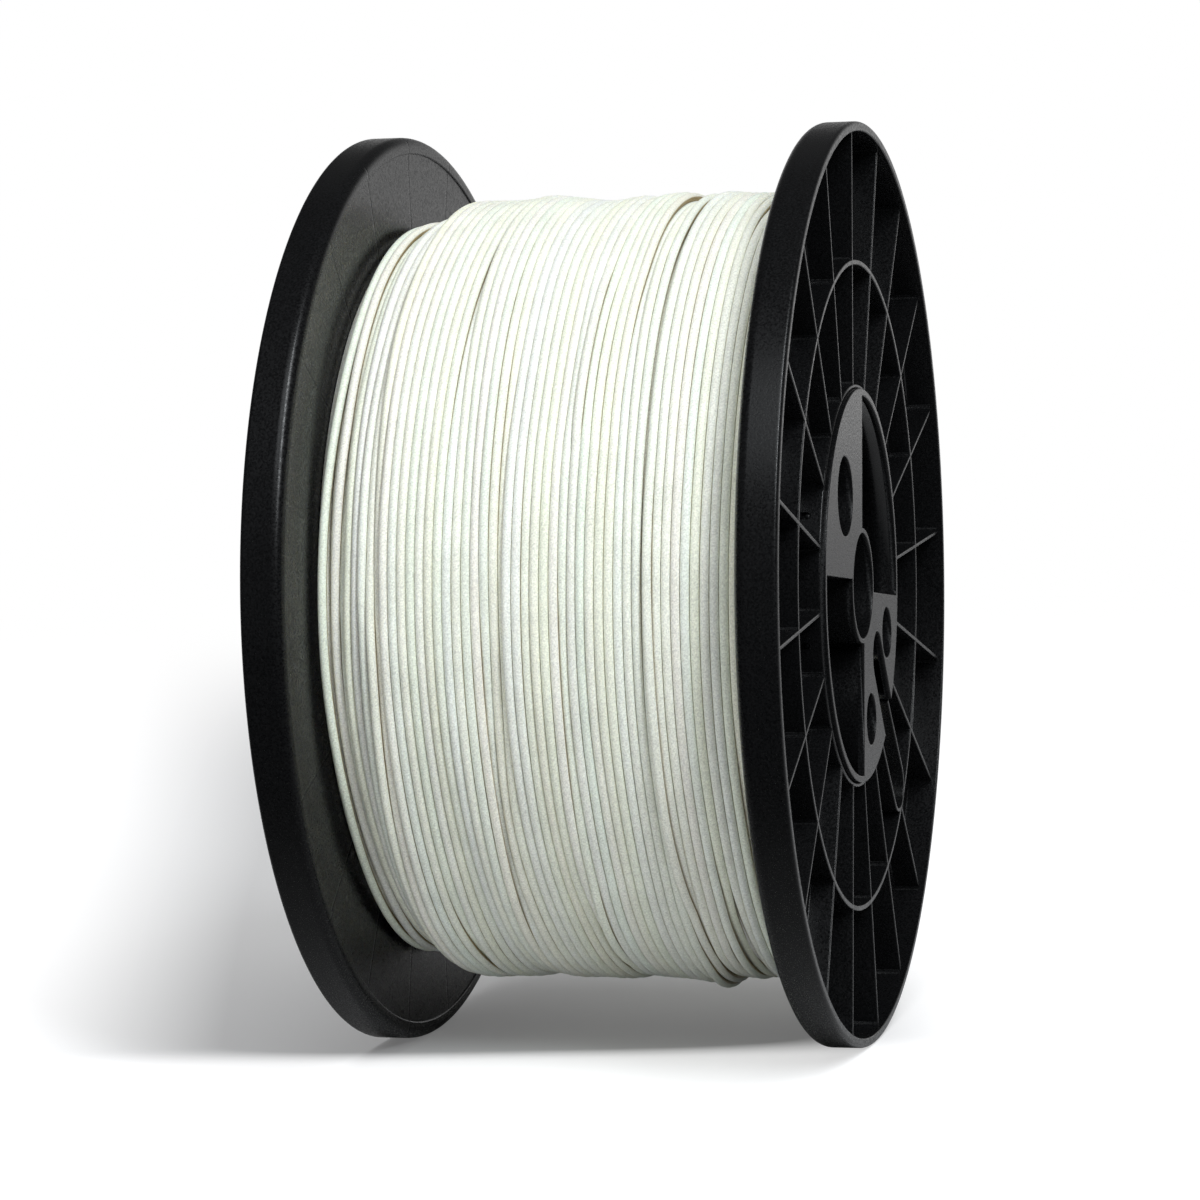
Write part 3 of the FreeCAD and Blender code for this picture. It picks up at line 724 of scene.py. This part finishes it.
def lumpField(across, angle, seed, count=14):
    # a sum of slow waves over the winding's width and around it, scaled to a spread of one
    draw = np.random.default_rng(seed)
    field = np.zeros_like(across)
    for _ in range(count):
        waveLength, laps = draw.uniform(*windingLook["lumpWaves"]), draw.integers(*windingLook["lumpLaps"])
        phase = draw.uniform(0, 6.28)
        field += np.sin(2 * np.pi * across / waveLength + laps * angle + phase)
    return field / math.sqrt(count / 2)


def localSpot(across, angle, spot):
    # one round-topped spot on the winding: a bell across the reel times a bell around it
    turn = (np.degrees(angle) - spot["angle"] + 180) % 360 - 180
    return np.exp(-0.5 * ((across - spot["across"]) / spot["spread"]) ** 2 - 0.5 * (turn / spot["arc"]) ** 2)


def packStrands():
    # the outer layer's middle line: turns are laid at an uneven pitch, some stretches dive under the
    # rest, and all are then pushed apart where two come nearer than one strand, so that neighbours
    # close over a diving stretch or ride up on it
    size = windingLook
    turns, stations, gap = size["turns"], size["stations"], size["strand"]
    reach = size["halfWidth"] - gap / 2
    lap = np.arange(turns)[:, None] + np.arange(stations)[None, :] / stations
    angle = 2 * np.pi * np.arange(stations)[None, :] / stations + np.zeros((turns, 1))
    farReach = reach - size["farGap"]
    even = -reach + (reach + farReach) * lap / turns
    wander = smoothNoise(lap.size, size["wanderLength"] * stations, size["seed"]).reshape(lap.shape)
    target = even + size["wander"] * wander
    target += size["bunching"] * lumpField(even, angle, size["seed"] + 1)
    target = np.clip(target, -reach, farReach)
    dive = smoothNoise(lap.size, size["diveLength"] * stations, size["seed"] + 5).reshape(lap.shape)
    dive = np.clip((dive - size["diveFrom"]) / size["diveSpan"], 0, 1)
    dive = size["dive"] * dive * dive * (3 - 2 * dive)
    dive += size["gap"]["depth"] * localSpot(even, angle, size["gap"])
    lumps = size["lumps"] * lumpField(even, angle, size["seed"] + 2)
    lumps += size["bulge"]["height"] * localSpot(even, angle, size["bulge"])
    across = target.copy()
    height = windingProfile(target) - dive + lumps
    bell = np.array([1, 4, 6, 4, 1]) / 16
    notZero = 1e-6
    for step in range(size["packSteps"]):
        height -= size["stepDown"]
        for apart in (1, 2, 3):
            side = across[apart:] - across[:-apart]
            rise = height[apart:] - height[:-apart]
            far = np.hypot(side, rise) + notZero
            push = np.clip(gap - far, 0, None) * 0.5
            across[apart:] += push * side / far
            across[:-apart] -= push * side / far
            height[apart:] += push * rise / far
            height[:-apart] -= push * rise / far
        if step < size["easedSteps"]:
            for line in (across, height):
                run = np.pad(line.ravel(), 2, mode="edge")
                line += size["easing"] * (np.convolve(run, bell, mode="valid").reshape(line.shape) - line)
            across += size["pullBack"] * (target - across)
        across[:] = np.clip(across, -reach, farReach)
        height[:] = np.maximum(height, windingProfile(across) - dive + lumps)
    return across, height, angle


def strandPath(across, height, angle):
    # the places of a middle line, and the way outwards from the reel's axis at each
    place = np.stack([height * np.cos(angle), across, height * np.sin(angle)], -1)
    outward = np.stack([np.cos(angle), np.zeros_like(angle), np.sin(angle)], -1)
    return place.reshape(-1, 3) * mm, outward.reshape(-1, 3)


def buildWinding():
    size = windingLook
    across, height, angle = packStrands()
    # both ends of the strand go down under their neighbours
    along = np.arange(across.size) / size["stations"]
    buried = np.clip(1 - np.minimum(along, along[-1] - along) / size["buriedTurns"], 0, 1) ** 2
    height = (height.ravel() - size["buriedDepth"] * size["strand"] * buried).reshape(height.shape)
    path, outward = strandPath(across, height, angle)
    outer = strandPiece("windingOuterTurns", path, outward, size["strand"] / 2 * mm, size["sides"])

    # the layer under it is plain, and runs the other way across
    reach = size["halfWidth"] - size["strand"] / 2
    count = size["underTurns"] * size["underStations"]
    lap = np.arange(count) / size["underStations"]
    underAcross = reach - 2 * reach * lap / size["underTurns"]
    underAngle = 2 * np.pi * lap
    underHeight = windingProfile(underAcross) - size["strand"] * size["underDepth"]
    path, outward = strandPath(underAcross, underHeight, underAngle)
    under = strandPiece("windingUnderTurns", path, outward, size["strand"] / 2 * mm, size["underSides"])
    return outer, under


coreLook = {
    "inside": 64.5,
    "depth": 1.45,
    "stations": 60,
    "steps": 180,
}


def buildCore():
    # the rest of the winding, turned about Y: a plain ring whose outer face lies under the second layer
    halfWidth, steps, inside = windingLook["halfWidth"], coreLook["steps"], coreLook["inside"]
    wall = np.linspace(-halfWidth, halfWidth, coreLook["stations"])
    outer = windingProfile(wall) - coreLook["depth"] * windingLook["strand"]
    profile = np.concatenate([np.stack([wall, outer], -1), [[halfWidth, inside], [-halfWidth, inside]]])
    turn = np.arange(steps) * 2 * np.pi / steps
    points = np.stack([profile[None, :, 1] * np.cos(turn)[:, None],
                       profile[None, :, 0] + 0 * turn[:, None],
                       profile[None, :, 1] * np.sin(turn)[:, None]], -1)
    # the faces are turned over, so that they look outwards
    quads = gridQuads(steps, len(profile), closedAlong=True)[:, [0, 3, 2, 1]]
    return addPiece("windingCore", points.reshape(-1, 3) * mm, quads.tolist())


filamentLook = {
    "colour": (0.83, 0.85, 0.755, 1),
    # the next two paint shade between the strands: a darker brown on the flanks that face the neighbours
    "gapShadeColour": (0.30, 0.22, 0.09, 1),
    "flankShade": (0.34, 0.0),
    "roughness": 0.48,
    "subsurface": 0.25,
    "subsurfaceRadius": (1.0, 0.9, 0.7),
    "subsurfaceDepth": 1.0,
    "tintLow": (0.965, 0.978, 0.945),
    "tintHigh": (1.025, 1.018, 1.045),
    "tintSpan": (0.3, 0.7),
    "tintsPerTurn": 0.9,
    "grainScale": 1800.0,
    "grainSpread": 0.26,
    "grainDepth": 0.03,
    "bump": 0.10,
}


def filamentPlastic():
    # u runs along the strand, so noise over u times the turns gives each stretch its own slight tint
    look = filamentLook
    material, tree, shader = newMaterial("offWhiteFilament")
    place = addNode(tree, "TexCoord", (-1300, 0)).outputs["Object"]
    uvMap = addNode(tree, "UVMap", (-1300, -300), uv_map="strand").outputs[0]
    apart = addNode(tree, "SeparateXYZ", (-1100, -300), {0: uvMap}).outputs
    noiseScale = look["tintsPerTurn"] * windingLook["turns"]
    lengthNoise = addNode(tree, "TexNoise", (-900, -150), noise_dimensions="1D")
    feed(tree, lengthNoise, {"W": apart["X"], "Scale": noiseScale, "Detail": 1})
    tint = addNode(tree, "MapRange", (-700, -150), data_type="FLOAT_VECTOR")
    sockets = [socket for socket in tint.inputs if socket.type == "VECTOR"]
    tree.links.new(lengthNoise.outputs["Color"], sockets[0])
    fromLow, fromHigh = ((value,) * 3 for value in look["tintSpan"])
    for socket, value in zip(sockets[1:], (fromLow, fromHigh, look["tintLow"], look["tintHigh"])):
        socket.default_value = value
    # painted shade: the flanks that face the neighbours are painted darker and browner, as shade between the
    # strands; cos of the place around is low there
    angle = addMath(tree, (-900, -450), "MULTIPLY", apart["Y"], 2 * math.pi)
    flankShade = mapSpan(tree, (-600, -450), addMath(tree, (-750, -450), "COSINE", angle), *look["flankShade"])
    colour = addNode(tree, "Mix", (-400, -100),
                     {"Factor": flankShade, "A": look["colour"], "B": look["gapShadeColour"]},
                     data_type="RGBA").outputs["Result"]
    tinted = addNode(tree, "VectorMath", (-250, -100), {0: colour, 1: tint.outputs["Vector"]},
                     operation="MULTIPLY").outputs[0]
    grain = addNode(tree, "Group", (-100, 0),
                    {"Vector": place, "Scale": look["grainScale"], "Colour": tinted,
                     "Spread": look["grainSpread"]}, node_tree=speckle).outputs
    bump = addNode(tree, "Bump", (50, -300),
                   {"Strength": look["bump"], "Distance": look["grainDepth"] * mm, "Height": grain["Height"]})
    feed(tree, shader, {"Base Color": grain["Colour"], "Normal": bump.outputs["Normal"],
                        "Roughness": look["roughness"], "Subsurface Weight": look["subsurface"],
                        "Subsurface Radius": look["subsurfaceRadius"],
                        "Subsurface Scale": look["subsurfaceDepth"] * mm})
    return material


plastic = reelPlastic()
for half in ("front", "back"):
    makeFlange(half, plastic)
    makeHub(half, plastic)
print("four mouldings built")

outerTurns, underTurns = buildWinding()
core = buildCore()
filament = filamentPlastic()
for piece in (outerTurns, underTurns, core):
    piece.data.materials.append(filament)
    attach(piece, "root")
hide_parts("filament_outer_turns")
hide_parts("filament_pack")
print("winding laid:", windingLook["turns"], "outer turns")


# studio

# camera at the photograph's viewing angle; shares are of the flange's radius, pixels of a 1200 frame
cameraLook = {
    "azimuth": 13.66,
    "elevation": 3.96,
    "distance": 8.308,
    "targetAcross": -0.0593,
    "targetUp": -0.1548,
    "focal": 3765.85,
    "centre": (655.07, 657.23),
    "roll": -0.0193,
    "frame": 1200,
}

studioLook = {
    "ground": -flangeRadius,
    "fillLevel": 0.25,
    "backdropLevels": (1.2, 0.75),
    "roomLevel": 0.04,
    "sun": {"strength": 1.14, "angle": 60, "from": (-0.25, -0.15, 1.0)},
    "lampColour": (0.93, 0.97, 1.0),
    "frontTop": {"power": 4.5, "size": (0.6, 0.8), "place": (-1.25, -0.05, 1.15)},
    "sideStrip": {"power": 18.5, "size": (0.30, 1.1), "place": (-1.05, -0.82, 1.10)},
    "backdropStart": (0.0, 0.8),
    "horizon": (-0.02, 0.04),
    "upperFade": (0.1, 0.5, 1.0, 0.1),
    "floorHalf": 12.0,
    "floorColour": (0.60, 0.60, 0.605, 1),
    "floorRoughness": 0.9,
    "floorLift": 0.64,
    "leastLift": 0.13,
    # the shade keys paint a shadow on the floor behind the reel and left of it, where the camera sees it
    "shadeDepth": 0.88,
    "shadeReach": 2.5,
    "shadeFront": (-0.045, -0.005),
    "shadeSlant": -0.115,
    "shadeSide": (0.06, 0.235),
    "shadeRight": (-0.13, 0.0),
    "floorFade": (0.9, 2.6),
    # paints the floor black in reflections in front of the reel, as painted shade
    "floorFront": (-0.25, 0.04),
}


def addLamp(name, kind, energy, turn):
    lamp = bpy.data.lights.new(name, kind)
    lamp.energy = energy
    holder = bpy.data.objects.new(name, lamp)
    holder.rotation_euler = turn.to_euler()
    bpy.context.scene.collection.objects.link(holder)
    return lamp, holder


def softLight(name):
    # a soft box that faces the middle of the reel
    look = studioLook[name]
    turn = (-Vector(look["place"])).to_track_quat("-Z", "Y")
    lamp, holder = addLamp(name, "AREA", look["power"], turn)
    lamp.shape = "RECTANGLE"
    lamp.size, lamp.size_y = look["size"]
    lamp.color = studioLook["lampColour"]
    holder.location = look["place"]


def overheadLight():
    # broad light from above that shows in no reflection
    look = studioLook["sun"]
    lamp, holder = addLamp("overhead", "SUN", look["strength"], Vector(look["from"]).to_track_quat("Z", "Y"))
    lamp.angle = math.radians(look["angle"])
    holder.visible_glossy = False


def buildFloor():
    # a pale floor that keeps the reel's shadow, with a painted shadow added behind the reel and left of it,
    # and passes into plain white further out; in reflections it is painted black in front of the reel, fading
    # out under it, as painted shade in what the reel reflects
    look = studioLook
    half = look["floorHalf"]
    corners = np.array([[-half, -half], [half, -half], [half, half], [-half, half]])
    points = np.concatenate([corners, np.full((4, 1), look["ground"])], 1)
    floor = addPiece("floor", points, [[0, 1, 2, 3]], smooth=False)
    material, tree, shader = newMaterial("paleFloor")
    feed(tree, shader, {"Base Color": look["floorColour"], "Roughness": look["floorRoughness"],
                        "Specular IOR Level": 0.0})
    place = addNode(tree, "TexCoord", (-2100, 0)).outputs["Object"]
    path = addNode(tree, "LightPath", (-900, 300)).outputs
    seen = addMath(tree, (-700, 300), "MAXIMUM", path["Is Camera Ray"], path["Is Transmission Ray"])

    # as the camera sees it, the floor is lifted, but less behind the reel and left of it, which paints a
    # shadow there on top of the real one:
    # away is the place along the camera's way and beside is the place to the left of it
    view = math.radians(cameraLook["azimuth"])
    ways = ((math.cos(view), math.sin(view), 0), (-math.sin(view), math.cos(view), 0))
    away, beside = (addNode(tree, "VectorMath", (-1900, 700 - 300 * step), {0: place, 1: way},
                            operation="DOT_PRODUCT").outputs["Value"] for step, way in enumerate(ways))
    slanted = addMath(tree, (-1700, 500), "MULTIPLY_ADD", away, look["shadeSlant"], beside)
    shade = mapSpan(tree, (-1500, 900), away, 0.0, look["shadeReach"], look["shadeDepth"], 0.0, "LINEAR")
    spans = (mapSpan(tree, (-1500, 700), away, *look["shadeFront"]),
             mapSpan(tree, (-1500, 500), slanted, *look["shadeSide"], 1.0, 0.0),
             mapSpan(tree, (-1500, 300), beside, *look["shadeRight"]))
    for step, span in enumerate(spans):
        shade = addMath(tree, (-1300 + 150 * step, 600), "MULTIPLY", shade, span)
    lifting = addMath(tree, (-700, 600), "SUBTRACT", look["floorLift"], shade)
    least = addMath(tree, (-550, 600), "MAXIMUM", lifting, look["leastLift"])
    lift = addMath(tree, (-400, 0), "MULTIPLY", seen, least)
    lifted = addNode(tree, "Emission", (-100, -50), {"Strength": lift}).outputs[0]
    both = addNode(tree, "AddShader", (0, 50), {0: shader.outputs[0], 1: lifted}).outputs[0]

    # plain white further out, and painted black in reflections in front of the reel, a painted shade in what
    # the reel reflects there
    far = addNode(tree, "VectorMath", (-900, 0), {0: place}, operation="LENGTH").outputs["Value"]
    fade = mapSpan(tree, (-700, 0), far, *look["floorFade"])
    share = addMath(tree, (-400, 150), "MULTIPLY", fade, seen)
    white = addNode(tree, "Emission", (-100, -200)).outputs[0]
    mix = addNode(tree, "MixShader", (150, 0), {"Fac": share, 1: both, 2: white}).outputs[0]
    along = addNode(tree, "SeparateXYZ", (-900, -300), {0: place}).outputs["X"]
    front = mapSpan(tree, (-700, -300), along, *look["floorFront"], 1.0, 0.0)
    hidden = addMath(tree, (-400, -300), "MULTIPLY", path["Is Glossy Ray"], front)
    dark = addNode(tree, "Emission", (100, -350), {"Strength": 0.0}).outputs[0]
    mixDark = addNode(tree, "MixShader", (400, 0), {"Fac": hidden, 1: mix, 2: dark}).outputs[0]
    feed(tree, tree.nodes["Material Output"], {"Surface": mixDark})
    floor.data.materials.append(material)


def buildWorld():
    # white to the camera; in reflections a bright backdrop behind the reel, dimmer above the floor's
    # edge, and a dark room in front and overhead; an even fill for everything else
    look = studioLook
    world = bpy.data.worlds.new("studioWorld")
    bpy.context.scene.world = world
    world.use_nodes = True
    tree = world.node_tree
    path = addNode(tree, "LightPath", (-1100, 200)).outputs
    way = addNode(tree, "TexCoord", (-1100, -200)).outputs["Generated"]
    axes = addNode(tree, "SeparateXYZ", (-900, -200), {0: way}).outputs
    behind = mapSpan(tree, (-700, -150), axes["X"], *look["backdropStart"])
    wall = mapSpan(tree, (-700, -400), axes["Z"], *look["horizon"], *look["backdropLevels"])
    upper = mapSpan(tree, (-700, -650), axes["Z"], *look["upperFade"])
    level = addMath(tree, (-500, -300), "MULTIPLY", behind, wall)
    faded = addMath(tree, (-350, -300), "MULTIPLY", level, upper)
    backdrop = addMath(tree, (-250, -300), "MAXIMUM", faded, look["roomLevel"])
    mirrored = addMath(tree, (-700, 100), "MAXIMUM", path["Is Glossy Ray"], path["Is Transmission Ray"])
    room = addNode(tree, "Mix", (-150, 0), {"Factor": mirrored, "A": look["fillLevel"], "B": backdrop},
                   data_type="FLOAT").outputs["Result"]
    seen = addNode(tree, "Mix", (0, 0), {"Factor": path["Is Camera Ray"], "A": room, "B": 1.0},
                   data_type="FLOAT").outputs["Result"]
    feed(tree, tree.nodes["Background"], {"Color": (1, 1, 1, 1), "Strength": seen})


def buildCamera():
    look = cameraLook
    turn, lift = math.radians(look["azimuth"]), math.radians(look["elevation"])
    back = Vector((-math.cos(turn) * math.cos(lift), -math.sin(turn) * math.cos(lift), math.sin(lift)))
    target = Vector((0, look["targetAcross"], look["targetUp"])) * flangeRadius
    right = Vector((0, 0, 1)).cross(back).normalized()
    up = back.cross(right)
    camera = bpy.data.cameras.new("photoCamera")
    camera.sensor_width = 36
    camera.lens = look["focal"] / look["frame"] * camera.sensor_width
    camera.shift_x = (look["frame"] / 2 - look["centre"][0]) / look["frame"]
    camera.shift_y = (look["centre"][1] - look["frame"] / 2) / look["frame"]
    camera.clip_end = 60
    holder = bpy.data.objects.new("photoCamera", camera)
    facing = Matrix((right, up, back)).transposed() @ Matrix.Rotation(look["roll"], 3, "Z")
    place = target + back * look["distance"] * flangeRadius
    holder.matrix_world = Matrix.Translation(place) @ facing.to_4x4()
    bpy.context.scene.collection.objects.link(holder)
    bpy.context.scene.camera = holder


buildFloor()
buildWorld()
overheadLight()
for name in ("frontTop", "sideStrip"):
    softLight(name)
buildCamera()
bpy.context.scene.view_settings.view_transform = "Standard"
print("studio and camera ready")
